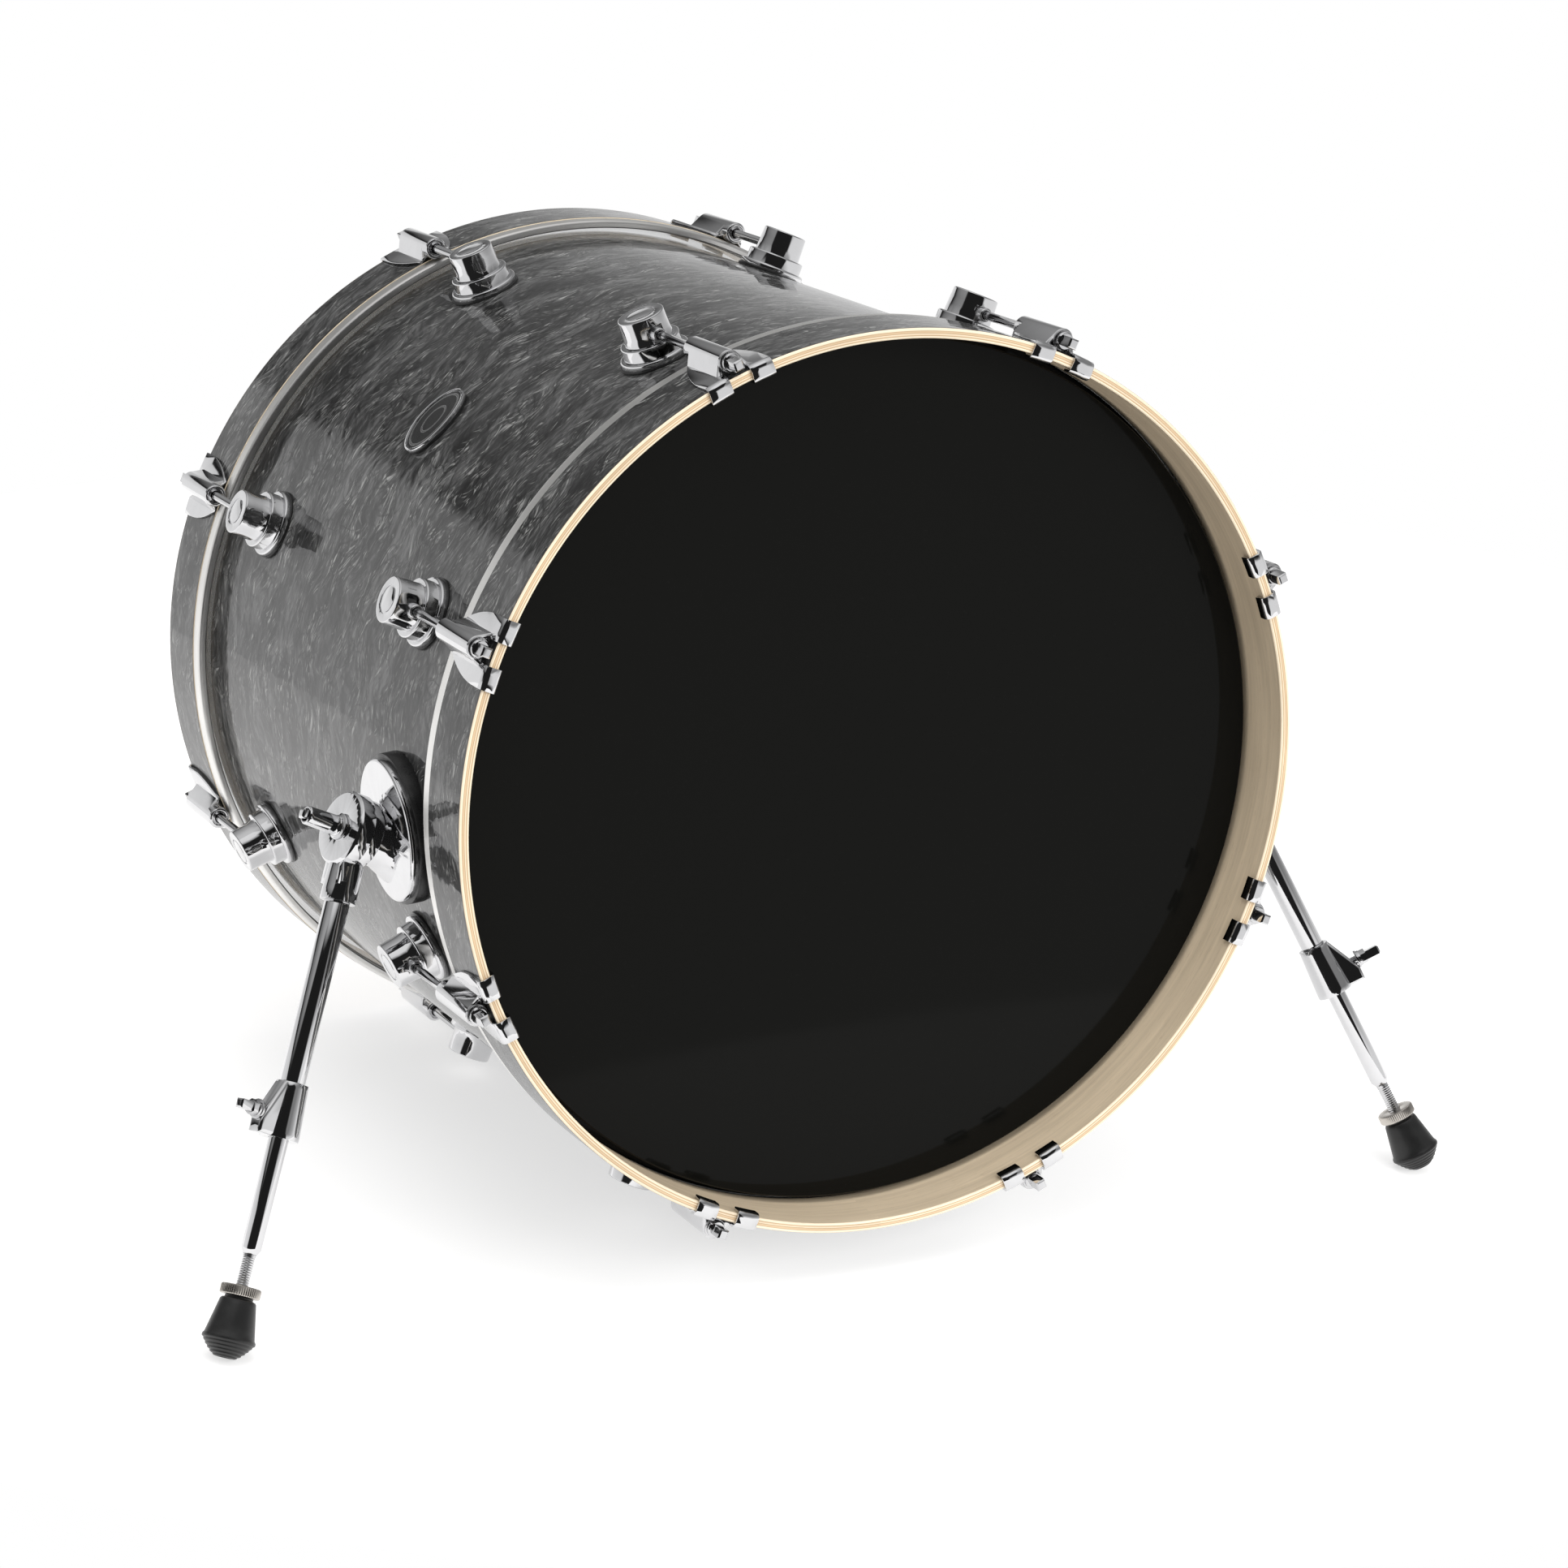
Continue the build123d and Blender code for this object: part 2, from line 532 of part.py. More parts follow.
def left_foot():
    """Rubber foot: a neck, a flared skirt and a ridged sole, bored through for the spike."""
    ring = FOOT_RING
    outline = [(FOOT_BORE_R, FOOT_TOP), (8.8, FOOT_TOP), (8.8, FOOT_TOP + 1.4), (10.6, FOOT_TOP + 1.9),
               (11.3, FOOT_TOP + 3.0), (15.6, ring - 2.4), (16.6, ring - 0.8), (16.6, ring + 0.7)]
    for radius, drop in ((15.2, 1.7), (13.6, 3.9), (11.8, 6.0), (9.8, 8.0)):
        outline += [(radius, ring + drop), (radius, ring + drop + 0.9)]
    outline += [(7.6, ring + 9.9), (7.6, ring + 10.4), (6.4, ring + 11.0), (FOOT_BORE_R, ring + 11.0)]
    return LEG * spindle([(radius, -drop) for radius, drop in outline])


# Writing the parts

def save(name, pieces):
    """Stand the pieces of one node on the floor and write them to one STEP file."""
    solids = [solid for piece in pieces for solid in piece.solids()]
    export_step(Compound(solids).moved(STANCE), f"parts/{name}.step")


def save_front_and_rear(name, pieces):
    save(f"front_{name}", pieces)
    save(f"rear_{name}", [to_rear(piece) for piece in pieces])


def save_left_and_right(name, pieces):
    save(f"left_{name}", pieces)
    save(f"right_{name}", [to_right(piece) for piece in pieces])


def both_ends(pieces):
    return pieces + [to_rear(piece) for piece in pieces]


def main():
    os.makedirs("parts", exist_ok=True)
    save("shell", [shell()])
    save("shell_wrap", [shell_wrap()])
    save_front_and_rear("head", [front_head()])
    save_front_and_rear("flesh_hoop", [front_flesh_hoop()])
    save_front_and_rear("hoop", [front_hoop()])
    save_front_and_rear("hoop_wrap", [front_hoop_wrap()])
    save_front_and_rear("lugs", ring_of(lug_at_top()))
    save_front_and_rear("claws", ring_of(claw_at_top()))
    save("lug_gaskets", both_ends(ring_of(lug_gasket_at_top())))
    save("lug_nuts", both_ends(ring_of(lug_nut_at_top())))
    save("lug_screws", both_ends(ring_of(lug_screw_at_top())))
    save("rod_washers", both_ends(ring_of(washer_at_top())))
    for number, rod in enumerate(ring_of(rod_at_top()), start=1):
        save_front_and_rear(f"tension_rod_{number}", [rod])
    save("badge", [badge()])
    save("badge_pad", [badge_pad()])
    save_left_and_right("bracket", [left_bracket()])
    gasket = left_bracket_gasket()
    save("bracket_gaskets", [gasket, to_right(gasket)])
    screws = left_bracket_screws()
    save("bracket_screws", screws + [to_right(piece) for piece in screws])
    save_left_and_right("knuckle", [left_knuckle()])
    save_left_and_right("pivot_bolt", [left_pivot_bolt()])
    save_left_and_right("upper_tube", [left_upper_tube()])
    save_left_and_right("collar", [left_collar()])
    save_left_and_right("collar_bolt", [left_collar_bolt()])
    save_left_and_right("lower_tube", [left_lower_tube()])
    save_left_and_right("spike", [left_spike()])
    save_left_and_right("lock_nut", [left_lock_nut()])
    save_left_and_right("foot", [left_foot()])


if __name__ == "__main__":
    main()
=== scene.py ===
import json
import math

import bmesh
import bpy
from mathutils import Matrix, Vector


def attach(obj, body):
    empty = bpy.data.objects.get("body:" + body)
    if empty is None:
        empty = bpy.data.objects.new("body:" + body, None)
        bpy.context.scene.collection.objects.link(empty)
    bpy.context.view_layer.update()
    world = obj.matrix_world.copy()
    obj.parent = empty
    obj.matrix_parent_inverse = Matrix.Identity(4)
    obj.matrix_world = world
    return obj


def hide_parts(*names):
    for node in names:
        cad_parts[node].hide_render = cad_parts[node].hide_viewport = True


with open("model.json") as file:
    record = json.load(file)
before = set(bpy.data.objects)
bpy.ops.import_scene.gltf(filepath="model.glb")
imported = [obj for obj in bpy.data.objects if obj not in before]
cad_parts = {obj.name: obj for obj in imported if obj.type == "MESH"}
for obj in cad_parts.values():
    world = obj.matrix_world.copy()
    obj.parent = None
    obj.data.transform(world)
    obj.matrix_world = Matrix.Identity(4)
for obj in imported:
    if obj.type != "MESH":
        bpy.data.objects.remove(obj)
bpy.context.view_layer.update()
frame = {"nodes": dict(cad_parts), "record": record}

NODES = frame["nodes"]
MOUNTS = {mount["name"]: mount for mount in frame["record"]["mounts"]}

# The drum's own frame: its middle, and its axis, which runs back from the front head
REAR_FACE = Vector(MOUNTS["batter_head_face"]["pos_m"])
FRONT_FACE = Vector(MOUNTS["resonant_head_face"]["pos_m"])
MIDDLE = (REAR_FACE + FRONT_FACE) / 2
AXIS = (REAR_FACE - FRONT_FACE).normalized()
LEAN = math.atan2(AXIS.z, AXIS.y)
DRUM = Matrix.Translation(MIDDLE) @ Matrix.Rotation(LEAN, 4, "X")

BODY = "drum"

# Turned pieces: radii from the drum's axis and distances from its middle
SHELL_R = 0.2794
HEAD_PLANE = 0.2286
WRAP = 0.0006
HOOP_R = 0.2908
HOOP_WALL = 0.0066
HOOP_FACE = 0.2680
HOOP_BACK = 0.2188
HOOP_CHAMFER = 0.0007
HOOP_LIP = 0.0009         # bare wood at the front and back edges of the hoop's skin
HOOP_BACK_LIP = 0.0003
FLESH_OUT_R, FLESH_IN_R, FLESH_BACK = 0.2903, 0.2848, 0.2074
FLESH_ROUND, FLESH_EASE = 0.0026, 0.0008
FLESH_ARC = 4             # steps in the rolled corner
FLESH_SEAT = HOOP_BACK - 0.00005
COLLAR_END = 0.2130       # where the film turns out into the flesh hoop
COLLAR_ROUND = 0.001
FILM = 0.0004
FILM_GAP = 0.0002         # between the laminate and the film's collar
WRAP_END = 0.2260
AROUND = 256              # faces round the drum

# Enamel face of the badge: half lengths round and along the drum, and height of the floor it lies on
BADGE_ANGLE = math.radians(-45)
BADGE_HALF = (0.0243, 0.0178)
BADGE_FLOOR = SHELL_R + 0.0036
ENAMEL = 0.0003
ENAMEL_SUNK = 0.0001

CAMERA_AT = Vector((-1.2644, -2.6185, 1.2119))
CAMERA_AIM = Vector((0.0388, -0.0406, 0.2502))
CAMERA_ROLL = math.radians(2.83)
CAMERA_LENS = 103.65
TOWARDS_ROOM = (-0.45, -0.893, 0)     # level direction of the dark room in front of the drum
FLOOR_AT, FLOOR_R = (0.3, 0.5, 0), 1.25
MERGE = 0.000002          # vertices this close are one


# Node helpers

class Paint:
    """One node material. Sockets and plain numbers can be mixed freely as inputs."""

    def __init__(self, name):
        self.material = bpy.data.materials.new(name)
        self.material.use_nodes = True
        self.tree = self.material.node_tree
        self.shader = self.tree.nodes["Principled BSDF"]

    def put(self, value, socket):
        if isinstance(value, bpy.types.NodeSocket):
            self.tree.links.new(value, socket)
        elif socket.type == "RGBA" and len(value) == 3:
            socket.default_value = (*value, 1)
        else:
            socket.default_value = value

    def node(self, kind, inputs=(), **settings):
        node = self.tree.nodes.new("ShaderNode" + kind)
        for key, value in settings.items():
            setattr(node, key, value)
        for key, value in dict(inputs).items():
            self.put(value, node.inputs[key])
        return node

    def math(self, operation, a, b=0.0, c=0.0):
        return self.node("Math", {0: a, 1: b, 2: c}, operation=operation).outputs[0]

    def noise(self, vector, scale, detail=2.0, roughness=0.5, distortion=0.0):
        inputs = {"Vector": vector, "Scale": scale, "Detail": detail, "Roughness": roughness,
                  "Distortion": distortion}
        return self.node("TexNoise", inputs).outputs["Fac"]

    def stretch(self, vector, scale, turn=0.0, shift=(0, 0, 0)):
        """Scale a coordinate differently in each direction, after turning it about its third axis."""
        turned = self.node("Mapping", {"Vector": vector, "Rotation": (0, 0, turn), "Location": shift})
        return self.node("Mapping", {"Vector": turned.outputs[0], "Scale": scale}).outputs[0]

    def ramp(self, value, *stops, interpolation="LINEAR"):
        """Colour or grey ramp, from (position, colour) stops."""
        node = self.node("ValToRGB", {"Fac": value})
        node.color_ramp.interpolation = interpolation
        elements = node.color_ramp.elements
        while len(elements) < len(stops):
            elements.new(0.5)
        for element, (position, colour) in zip(elements, stops):
            element.position = position
            element.color = (*colour, 1) if isinstance(colour, tuple) else (colour, colour, colour, 1)
        return node.outputs["Color"]

    def mix(self, factor, a, b, blend="MIX"):
        node = self.node("Mix", data_type="RGBA", blend_type=blend)
        self.put(factor, node.inputs[0])
        self.put(a, node.inputs[6])
        self.put(b, node.inputs[7])
        return node.outputs[2]

    def bump(self, height, distance, strength=1.0):
        return self.node("Bump", {"Height": height, "Distance": distance, "Strength": strength}).outputs[0]

    def set(self, **inputs):
        for key, value in inputs.items():
            self.put(value, self.shader.inputs[key.replace("_", " ")])

    def here(self):
        """Position in the frame at rest, which moves with the piece."""
        return self.node("TexCoord").outputs["Object"]

    def rolled(self):
        """Drum coordinates rolled out flat: distance round the drum, distance along it, and radius."""
        place = self.node("Mapping", {"Vector": self.here(), "Location": MIDDLE, "Rotation": (LEAN, 0, 0)},
                          vector_type="TEXTURE")
        xyz = self.node("SeparateXYZ", {0: place.outputs[0]}).outputs
        angle = self.math("ARCTAN2", xyz[0], xyz[2])
        squares = self.math("ADD", self.math("MULTIPLY", xyz[0], xyz[0]), self.math("MULTIPLY", xyz[2], xyz[2]))
        radius = self.math("SQRT", squares)
        around = self.math("MULTIPLY", angle, SHELL_R)
        return self.node("CombineXYZ", {0: around, 1: xyz[1], 2: radius}).outputs[0], radius


class Sky(Paint):
    """The world's nodes, with the same helpers."""

    def __init__(self, world):
        self.tree = world.node_tree


# Materials

def pearl_laminate():
    """Glossy charcoal laminate with fibrous streaks, pale flecks and fine dark cracks."""
    paint = Paint("pearl_laminate")
    flat, _ = paint.rolled()
    sway = paint.noise(flat, 14, 2)
    drift = paint.node("CombineXYZ", {1: paint.math("MULTIPLY", sway, 0.05)}).outputs[0]
    flow = paint.node("VectorMath", {0: flat, 1: drift}, operation="ADD").outputs[0]

    patches = paint.noise(paint.stretch(flow, (16, 44, 1)), 1, 3, 0.6, 0.6)
    fibres = paint.noise(paint.stretch(flow, (40, 260, 1), 0.10), 1, 4, 0.66, 0.5)
    cross = paint.noise(paint.stretch(flow, (60, 220, 1), -0.55, (3, 1, 0)), 1, 3, 0.6, 0.8)
    streaks = paint.math("ADD", paint.math("MULTIPLY", fibres, 0.32), paint.math("MULTIPLY", cross, 0.26))
    tone = paint.math("ADD", paint.math("MULTIPLY", patches, 0.42), streaks)
    colour = paint.ramp(tone, (0.40, 0.012), (0.50, 0.035), (0.60, 0.110))

    for turn, shift, low in ((0.16, (0, 0, 0), 0.60), (-0.22, (5, 2, 0), 0.63), (0.55, (9, 4, 0), 0.64)):
        wisps = paint.noise(paint.stretch(flow, (60, 340, 1), turn, shift), 1, 2, 0.55, 1.4)
        cluster = paint.noise(flat, 30 + 50 * abs(turn), 3, 0.6)
        flecks = paint.math("MULTIPLY", paint.ramp(wisps, (low - 0.03, 0.0), (low + 0.06, 0.85)),
                            paint.ramp(cluster, (0.46, 0.0), (0.62, 1.0)))
        colour = paint.mix(flecks, colour, (0.34, 0.34, 0.33))

    bend = paint.node("CombineXYZ", {0: paint.math("MULTIPLY", paint.noise(flat, 45, 2), 0.02)}).outputs[0]
    bent = paint.node("VectorMath", {0: flow, 1: bend}, operation="ADD").outputs[0]
    for turn, scale in ((0.12, (48, 92, 1)), (-0.7, (60, 64, 1))):
        cells = paint.node("TexVoronoi", {"Vector": paint.stretch(bent, scale, turn), "Scale": 1.0},
                           feature="DISTANCE_TO_EDGE").outputs["Distance"]
        broken = paint.ramp(paint.noise(flat, 38, 2), (0.46, 0.0), (0.58, 0.7))
        cracks = paint.math("MULTIPLY", paint.ramp(cells, (0.0, 1.0), (0.055, 0.0)), broken)
        colour = paint.mix(cracks, colour, (0.005, 0.005, 0.005))

    ripple = paint.noise(paint.stretch(flow, (80, 130, 1), 0.3), 1, 0)
    paint.set(Base_Color=colour, Roughness=0.45, Specular_IOR_Level=0.10, Coat_Weight=0.72,
              Coat_Roughness=0.012, Coat_IOR=1.5, Coat_Normal=paint.bump(ripple, 0.00011))
    return paint.material


def maple(name, lacquer=0.35):
    """Maple plies: grain that runs round the hoop, and ply lines across its edge."""
    paint = Paint(name)
    flat, radius = paint.rolled()
    depth = paint.math("DIVIDE", paint.math("SUBTRACT", radius, HOOP_R - HOOP_WALL), HOOP_WALL)
    light, tan, brown = (0.88, 0.76, 0.58), (0.66, 0.49, 0.31), (0.42, 0.27, 0.14)
    inside, glue = (0.76, 0.63, 0.46), (0.05, 0.04, 0.03)
    plies = paint.ramp(depth, (0.0, inside), (0.06, light), (0.20, light), (0.25, brown), (0.31, tan),
                       (0.43, light), (0.47, brown), (0.53, tan), (0.66, tan), (0.70, brown), (0.76, light),
                       (0.97, light), (0.99, glue))
    grain = paint.noise(paint.stretch(flat, (9, 210, 160)), 1, 5, 0.6, 0.4)
    figure = paint.noise(paint.stretch(flat, (14, 30, 30)), 1, 2)
    pores = paint.noise(paint.stretch(flat, (120, 1500, 1500)), 1, 1)
    bands = paint.ramp(grain, (0.30, (0.80, 0.78, 0.75)), (0.70, (1.10, 1.09, 1.07)))
    wood = paint.mix(0.75, plies, bands, "MULTIPLY")
    wood = paint.mix(0.35, wood, paint.ramp(figure, (0.35, 0.86), (0.65, 1.08)), "MULTIPLY")
    wood = paint.mix(paint.ramp(pores, (0.66, 0.0), (0.74, 0.35)), wood, (0.42, 0.29, 0.17))
    paint.set(Base_Color=wood, Roughness=paint.ramp(grain, (0.3, lacquer + 0.1), (0.7, lacquer - 0.05)),
              Normal=paint.bump(grain, 0.0001, 0.5), Coat_Weight=0.25, Coat_Roughness=0.2)
    return paint.material


def metal(name, colour, rough, wear=0.04, brushed=0.0):
    """Polished or plated metal, with faint smears and pits in its polish."""
    paint = Paint(name)
    here = paint.here()
    smears = paint.noise(here, 60, 3, 0.6)
    pits = paint.noise(here, 2600, 1)
    tint = paint.mix(paint.ramp(smears, (0.35, 0.0), (0.70, 0.5)), colour, tuple(0.9 * c for c in colour))
    height = paint.math("MULTIPLY", pits, 0.02 + brushed)
    paint.set(Base_Color=tint, Metallic=1.0, Roughness=paint.ramp(smears, (0.3, rough), (0.75, rough + wear)),
              Normal=paint.bump(height, 0.0001, 0.3))
    return paint.material


def satin_metal():
    """Spun flesh hoop: fine lines that run round the drum."""
    paint = Paint("satin_metal")
    flat, _ = paint.rolled()
    lines = paint.noise(paint.stretch(flat, (4, 2600, 2600)), 1, 2)
    blotch = paint.noise(flat, 30, 2)
    tint = paint.mix(paint.ramp(blotch, (0.35, 0.0), (0.7, 1.0)), (0.90, 0.89, 0.87), (0.82, 0.81, 0.79))
    paint.set(Base_Color=tint, Metallic=1.0, Roughness=paint.ramp(lines, (0.3, 0.34), (0.7, 0.46)),
              Normal=paint.bump(lines, 0.00006, 0.5))
    return paint.material


def black_film():
    """Gloss black film head with the faint waviness of stretched plastic."""
    paint = Paint("black_film")
    here = paint.here()
    waves = paint.noise(here, 5, 1)
    dust = paint.noise(here, 900, 1)
    black, speck = (0.0042, 0.0042, 0.0037), (0.02, 0.02, 0.02)
    colour = paint.mix(paint.ramp(dust, (0.70, 0.0), (0.80, 0.25)), black, speck)
    paint.set(Base_Color=colour, Roughness=paint.ramp(waves, (0.3, 0.05), (0.7, 0.08)), Specular_IOR_Level=0.07,
              Normal=paint.bump(waves, 0.0002, 0.2))
    return paint.material


def clear_film():
    """Batter head: clear film with a faint haze, through which the shell's inside shows."""
    paint = Paint("clear_film")
    here = paint.here()
    haze = paint.noise(here, 7, 3)
    dust = paint.noise(here, 1100, 2)
    colour = paint.mix(haze, (0.42, 0.43, 0.43), (0.52, 0.53, 0.53))
    paint.set(Base_Color=colour, Roughness=paint.ramp(dust, (0.3, 0.10), (0.7, 0.16)),
              Alpha=paint.ramp(haze, (0.3, 0.22), (0.7, 0.32)))
    return paint.material


def enamel():
    """Charcoal enamel badge face with two fine silver ovals."""
    paint = Paint("enamel")
    flat, _ = paint.rolled()
    xyz = paint.node("SeparateXYZ", {0: flat}).outputs
    across = paint.math("DIVIDE", paint.math("SUBTRACT", xyz[0], BADGE_ANGLE * SHELL_R), BADGE_HALF[0])
    along = paint.math("DIVIDE", xyz[1], BADGE_HALF[1])
    squares = paint.math("ADD", paint.math("MULTIPLY", across, across), paint.math("MULTIPLY", along, along))
    oval = paint.math("SQRT", squares)
    lines = paint.ramp(oval, (0.0, 0.0), (0.40, 0.0), (0.42, 1.0), (0.46, 1.0), (0.48, 0.0), (0.84, 0.0),
                       (0.86, 1.0), (0.90, 1.0), (0.92, 0.0))
    cloud = paint.noise(flat, 300, 2)
    dark = paint.mix(cloud, (0.012, 0.012, 0.012), (0.035, 0.035, 0.035))
    silver = (0.72, 0.72, 0.72)
    paint.set(Base_Color=paint.mix(lines, dark, silver), Metallic=lines, Roughness=0.18, Coat_Weight=0.6)
    return paint.material


def rubber(name, shade, rough):
    paint = Paint(name)
    here = paint.here()
    grain = paint.noise(here, 1500, 2, 0.6)
    bloom = paint.noise(here, 70, 3)
    colour = paint.mix(paint.ramp(bloom, (0.45, 0.0), (0.8, 1.0)), (shade,) * 3, (1.9 * shade,) * 3)
    paint.set(Base_Color=colour, Roughness=paint.ramp(grain, (0.3, rough - 0.06), (0.7, rough + 0.08)),
              Specular_IOR_Level=0.4, Normal=paint.bump(grain, 0.0001, 0.35))
    return paint.material


# Turned pieces, which replace the CAD's coarser meshes where their gloss would show the facets

def made(name, form, material, bevel=0.0):
    """Object from a bmesh and smooth shading."""
    mesh = bpy.data.meshes.new(name)
    bmesh.ops.recalc_face_normals(form, faces=form.faces)
    form.to_mesh(mesh)
    form.free()
    piece = bpy.data.objects.new(name, mesh)
    bpy.context.scene.collection.objects.link(piece)
    mesh.materials.append(material)
    smooth(piece, bevel)
    return piece


def on_drum(radius, angle, along):
    """Point at an angle from the drum's top and a distance along its axis from its middle."""
    return DRUM @ Vector((radius * math.sin(angle), along, radius * math.cos(angle)))


def turned(name, node, slot, outline, material, bevel=0.0):
    """Ring or disc swept round the drum from a closed outline of (radius, distance) points."""
    form = bmesh.new()
    columns = []
    for step in range(AROUND):
        angle = 2 * math.pi * step / AROUND
        columns.append([form.verts.new(on_drum(radius, angle, along)) for radius, along in outline])
    for step, column in enumerate(columns):
        following = columns[(step + 1) % AROUND]
        for low in range(len(outline)):
            high = (low + 1) % len(outline)
            if outline[low][0] or outline[high][0]:
                form.faces.new((column[low], column[high], following[high], following[low]))
    bmesh.ops.remove_doubles(form, verts=form.verts, dist=1e-7)
    piece = made(name, form, material, bevel)
    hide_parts(node)
    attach(piece, BODY)


def smooth(piece, bevel):
    """Smooth shading, with sharp edges eased by a bevel in metres."""
    piece.data.polygons.foreach_set("use_smooth", [True] * len(piece.data.polygons))
    if bevel:
        ease = piece.modifiers.new("ease", "BEVEL")
        ease.width = bevel
        ease.segments = 2
        ease.limit_method = "ANGLE"
        ease.angle_limit = math.radians(32)
        ease.harden_normals = True
        ease.use_clamp_overlap = True
    else:
        piece.data.set_sharp_from_angle(angle=math.radians(30))
        weigh = piece.modifiers.new("weigh", "WEIGHTED_NORMAL")
        weigh.keep_sharp = True


def mirrored(outline):
    return [(radius, -along) for radius, along in outline]


def turn_all(laminate, wood):
    core, face, lip = HOOP_R - WRAP, HOOP_FACE - HOOP_CHAMFER, HOOP_FACE - HOOP_CHAMFER - HOOP_LIP
    inner, back = HOOP_R - HOOP_WALL, HOOP_BACK + HOOP_BACK_LIP
    hoop = [(inner, face), (inner + HOOP_CHAMFER, HOOP_FACE), (HOOP_R - HOOP_CHAMFER, HOOP_FACE),
            (HOOP_R, face), (HOOP_R, lip), (core, lip), (core, back), (HOOP_R, back), (HOOP_R, HOOP_BACK),
            (inner, HOOP_BACK)]
    skin = [(core, lip), (HOOP_R, lip), (HOOP_R, back), (core, back)]
    corner = []
    for step in range(FLESH_ARC + 1):
        turn = math.radians(90 / FLESH_ARC * step)
        corner.append((FLESH_OUT_R - FLESH_ROUND * (1 - math.cos(turn)),
                       FLESH_BACK + FLESH_ROUND * (1 - math.sin(turn))))
    flesh = [(FLESH_IN_R, FLESH_SEAT), (FLESH_OUT_R, FLESH_SEAT), *corner,
             (FLESH_IN_R + FLESH_EASE, FLESH_BACK), (FLESH_IN_R, FLESH_BACK + FLESH_EASE)]
    under, over, flange = SHELL_R + FILM_GAP, SHELL_R + FILM_GAP + FILM, FLESH_IN_R - 0.0001
    shoulder = HEAD_PLANE - COLLAR_ROUND
    head = [(0, HEAD_PLANE + FILM), (over - COLLAR_ROUND, HEAD_PLANE + FILM), (over, shoulder + FILM),
            (over, COLLAR_END + FILM), (flange, COLLAR_END + FILM), (flange, COLLAR_END), (under, COLLAR_END),
            (under, shoulder), (under - COLLAR_ROUND, HEAD_PLANE), (0, HEAD_PLANE)]
    spun = satin_metal()
    films = (("black_film", black_film()), ("clear_film", clear_film()))
    for end, side, (slot, film) in zip(("front", "rear"), (mirrored, list), films):
        turned(f"{end}_wooden_hoop", f"{end}_hoop", "maple", side(hoop), wood, 0.0004)
        turned(f"{end}_hoop_skin", f"{end}_hoop_wrap", "pearl_laminate", side(skin), laminate)
        turned(f"{end}_spun_hoop", f"{end}_flesh_hoop", "satin_metal", side(flesh), spun)
        turned(f"{end}_drumhead", f"{end}_head", slot, side(head), film)
    half = [(SHELL_R - WRAP, WRAP_END), (SHELL_R, WRAP_END)]
    turned("shell_skin", "shell_wrap", "pearl_laminate", half + mirrored(half)[::-1], laminate)


def badge_face(material, rings=10, around=96):
    """Oval of enamel sunk inside the badge's rim, following the curve of the shell."""
    form = bmesh.new()
    turns = [2 * math.pi * step / around for step in range(around)]
    edges = []
    for radius in (BADGE_FLOOR + ENAMEL, BADGE_FLOOR - ENAMEL_SUNK):
        grid = []
        for ring in range(1, rings + 1):
            wide, long = (half * ring / rings for half in BADGE_HALF)
            grid.append([form.verts.new(on_drum(radius, BADGE_ANGLE + math.asin(wide * math.cos(turn) / radius),
                                                long * math.sin(turn))) for turn in turns])
        hub = form.verts.new(on_drum(radius, BADGE_ANGLE, 0))
        for step in range(around):
            following = (step + 1) % around
            form.faces.new((hub, grid[0][step], grid[0][following]))
            for inner, outer in zip(grid, grid[1:]):
                form.faces.new((inner[step], outer[step], outer[following], inner[following]))
        edges.append(grid[-1])
    upper, lower = edges
    for step in range(around):
        following = (step + 1) % around
        form.faces.new((upper[step], lower[step], lower[following], upper[following]))
    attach(made("badge_face", form, material), BODY)


# Dressing the CAD nodes

def dress(node, material, bevel=0.0):
    """Give a CAD node its material and smooth shading."""
    piece = NODES[node]
    piece.data.materials.clear()
    piece.data.materials.append(material)
    weld = piece.modifiers.new("weld", "WELD")
    weld.merge_threshold = MERGE
    smooth(piece, bevel)


def dress_all():
    laminate = pearl_laminate()
    chrome = metal("chrome", (0.70, 0.70, 0.71), 0.04)
    chrome_steel = metal("chromed_steel", (0.64, 0.64, 0.65), 0.07)
    zinc = metal("zinc_plate", (0.66, 0.66, 0.67), 0.22, 0.1)
    nickel = metal("nickel_plate", (0.60, 0.565, 0.52), 0.24, 0.1)
    gasket = rubber("gasket_rubber", 0.010, 0.30)
    wood = maple("maple")
    turn_all(laminate, wood)
    badge_face(enamel())
    dress("shell", wood)
    for node in ("front_lugs", "rear_lugs", "badge"):
        dress(node, chrome, 0.0004)
    for node in ("front_claws", "rear_claws"):
        dress(node, chrome)
    for node in ("lug_gaskets", "badge_pad", "bracket_gaskets"):
        dress(node, gasket, 0.0003)
    for node in ("lug_nuts", "lug_screws", "rod_washers", "bracket_screws"):
        dress(node, zinc, 0.0002)
    for end in ("front", "rear"):
        for number in range(1, 9):
            dress(f"{end}_tension_rod_{number}", chrome_steel, 0.00025)
    for side in ("left", "right"):
        for part in ("bracket", "knuckle", "upper_tube", "collar", "lower_tube", "pivot_bolt"):
            dress(f"{side}_{part}", chrome, 0.0004)
        dress(f"{side}_collar_bolt", chrome_steel, 0.0003)
        dress(f"{side}_spike", zinc)
        dress(f"{side}_lock_nut", nickel, 0.00015)
        dress(f"{side}_foot", rubber("foot_rubber", 0.009, 0.36), 0.0003)


# Stage

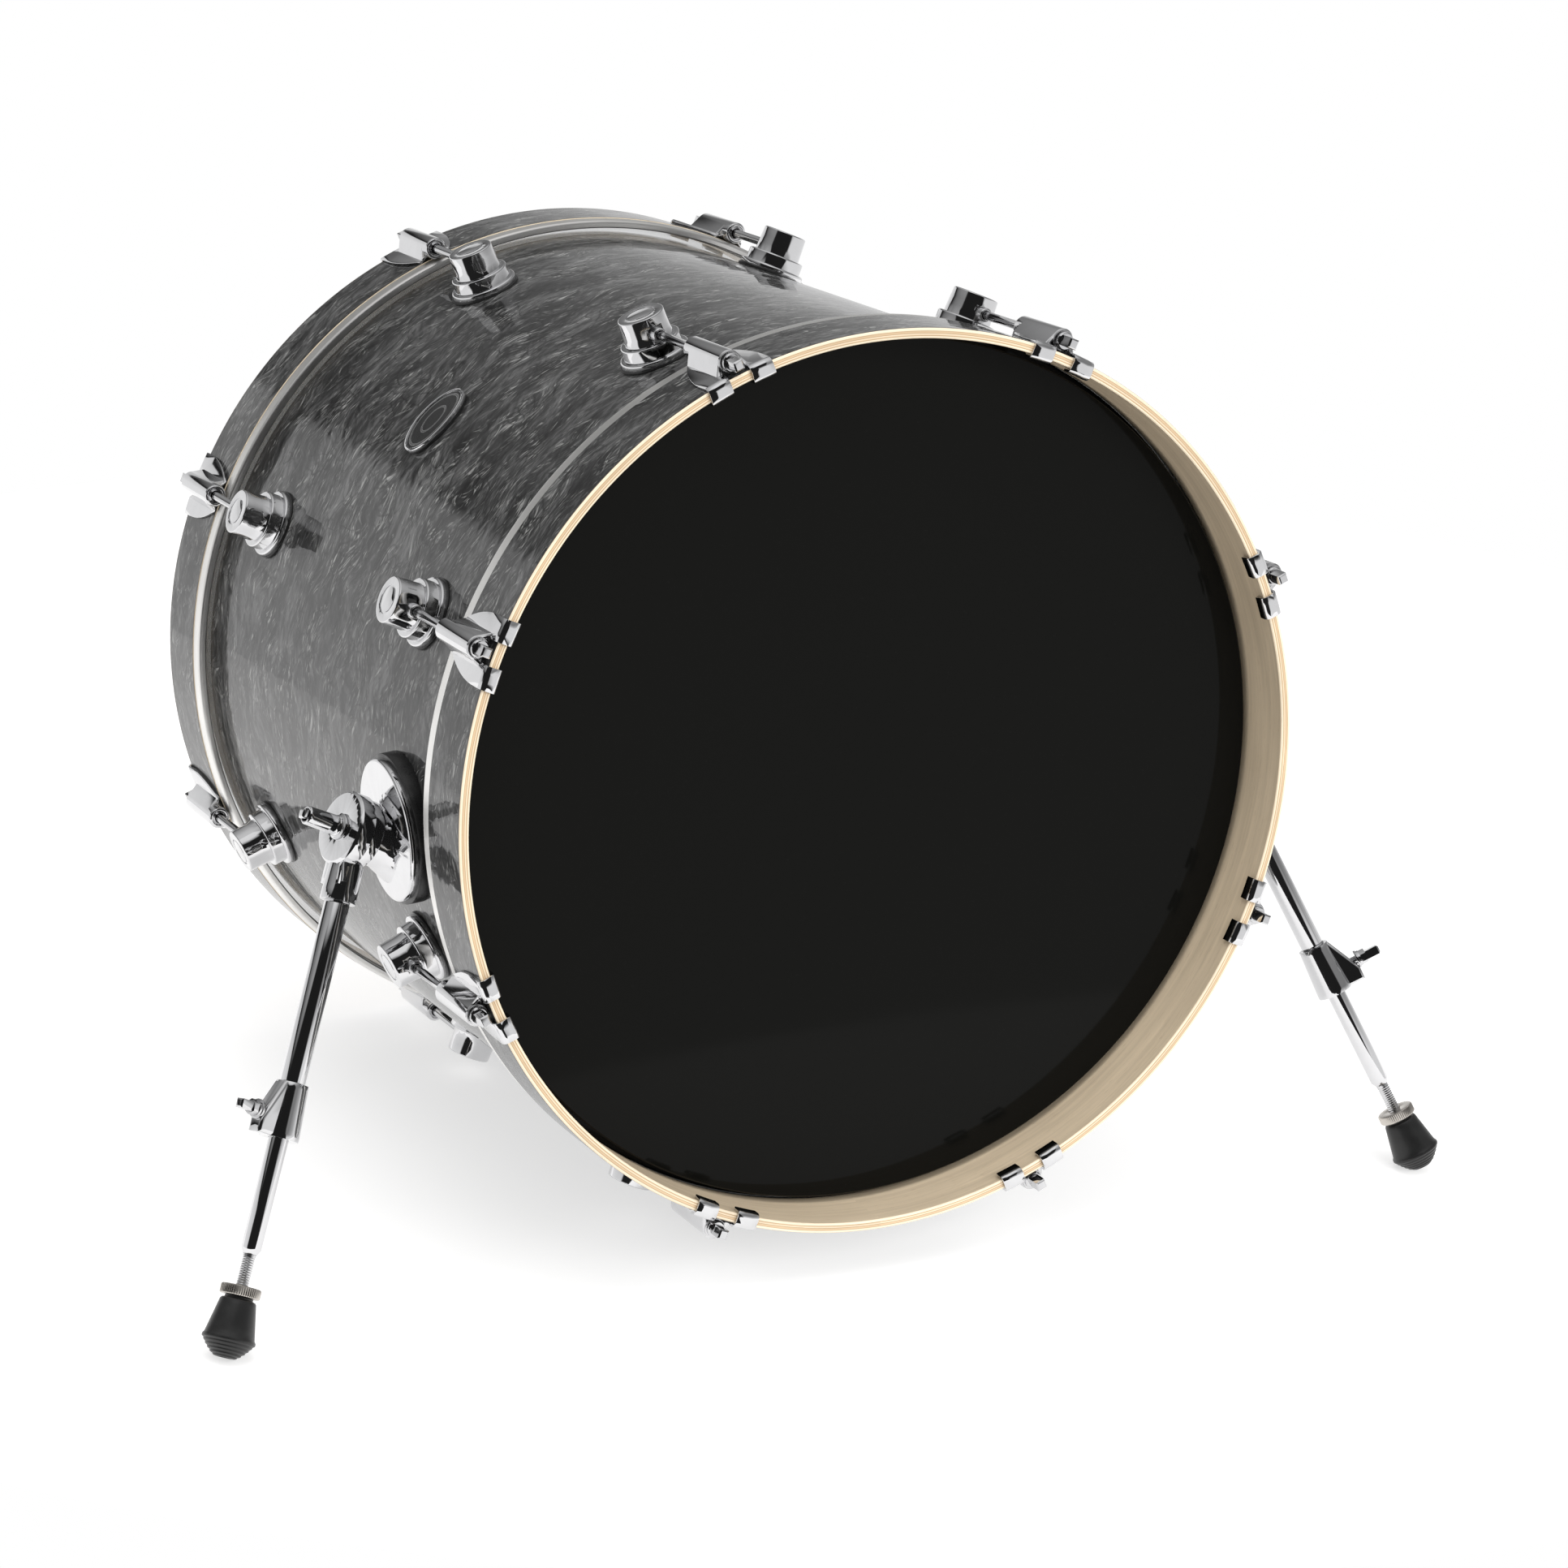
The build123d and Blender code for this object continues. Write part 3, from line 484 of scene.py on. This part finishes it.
def studio():
    """White background and soft light. Gloss reflects a white sweep, a dark band, a ceiling and a dark room."""
    world = bpy.data.worlds.new("studio")
    bpy.context.scene.world = world
    world.use_nodes = True
    paint = Sky(world)
    direction = paint.node("TexCoord").outputs["Generated"]
    height = paint.node("SeparateXYZ", {0: direction}).outputs[2]
    level = paint.node("VectorMath", {0: direction, 1: (1, 1, 0)}, operation="MULTIPLY").outputs[0]
    level = paint.node("VectorMath", {0: level}, operation="NORMALIZE").outputs[0]
    facing = paint.node("VectorMath", {0: level, 1: TOWARDS_ROOM}, operation="DOT_PRODUCT").outputs["Value"]
    rise = paint.math("MULTIPLY_ADD", height, 0.5, 0.5)
    left = paint.ramp(rise, (0.0, 1.0), (0.5, 0.95), (0.608, 0.75), (0.617, 0.01), (0.638, 0.02), (0.69, 0.2),
                      (0.78, 0.35), (0.90, 0.5), (1.0, 0.8))
    right = paint.ramp(rise, (0.0, 1.0), (0.5, 0.9), (0.58, 0.5), (0.68, 0.25), (0.80, 0.28), (1.0, 0.8))
    rightward = paint.node("SeparateXYZ", {0: level}).outputs[0]
    sweep = paint.mix(paint.ramp(rightward, (0.0, 0.0), (0.4, 1.0)), left, right)
    room = paint.ramp(rise, (0.0, 0.02), (0.86, 0.015), (0.92, 0.9), (1.0, 1.0))
    view = paint.mix(paint.ramp(facing, (0.66, 0.0), (0.74, 1.0)), sweep, room)
    soft = paint.ramp(rise, (0.0, 0.7), (0.5, 0.7), (1.0, 1.0))
    path = paint.node("LightPath").outputs
    lit = paint.mix(path["Is Diffuse Ray"], view, soft)
    shown = paint.mix(path["Is Camera Ray"], lit, (1.0, 1.0, 1.0))
    paint.put(shown, paint.tree.nodes["Background"].inputs["Color"])


def floor():
    """Round pale floor that glows a little, so that it melts into the white background."""
    mesh = bpy.data.meshes.new("floor")
    form = bmesh.new()
    bmesh.ops.create_circle(form, cap_ends=True, segments=96, radius=FLOOR_R)
    form.to_mesh(mesh)
    form.free()
    plane = bpy.data.objects.new("floor", mesh)
    bpy.context.scene.collection.objects.link(plane)
    plane.location = FLOOR_AT
    paint = Paint("pale_floor")
    paint.set(Base_Color=(0.55, 0.545, 0.54), Roughness=0.9, Specular_IOR_Level=0.0, Emission_Color=(1, 1, 1),
              Emission_Strength=0.60)
    mesh.materials.append(paint.material)


def softbox(name, place, aim, size, power, shows=True):
    light = bpy.data.lights.new(name, "AREA")
    light.shape = "RECTANGLE"
    light.size, light.size_y = size
    light.energy = power
    lamp = bpy.data.objects.new(name, light)
    bpy.context.scene.collection.objects.link(lamp)
    lamp.location = place
    lamp.rotation_mode = "QUATERNION"
    lamp.rotation_quaternion = (Vector(aim) - Vector(place)).to_track_quat("-Z", "Y")
    lamp.visible_glossy = shows


def camera():
    data = bpy.data.cameras.new("camera")
    data.lens = CAMERA_LENS
    data.sensor_width = 36
    data.clip_end = 100
    eye = bpy.data.objects.new("camera", data)
    bpy.context.scene.collection.objects.link(eye)
    turn = (CAMERA_AIM - CAMERA_AT).to_track_quat("-Z", "Y").to_matrix().to_4x4()
    eye.matrix_world = Matrix.Translation(CAMERA_AT) @ turn @ Matrix.Rotation(CAMERA_ROLL, 4, "Z")
    bpy.context.scene.camera = eye


bpy.context.scene.view_settings.view_transform = "Standard"
dress_all()
studio()
floor()
softbox("overhead", (-0.6, -0.6, 3.0), (0, 0, 0.3), (2.4, 1.6), 30, shows=False)
softbox("front_fill", (0.8, -3.2, 1.6), (0, 0, 0.3), (2.6, 1.8), 68, shows=False)
camera()
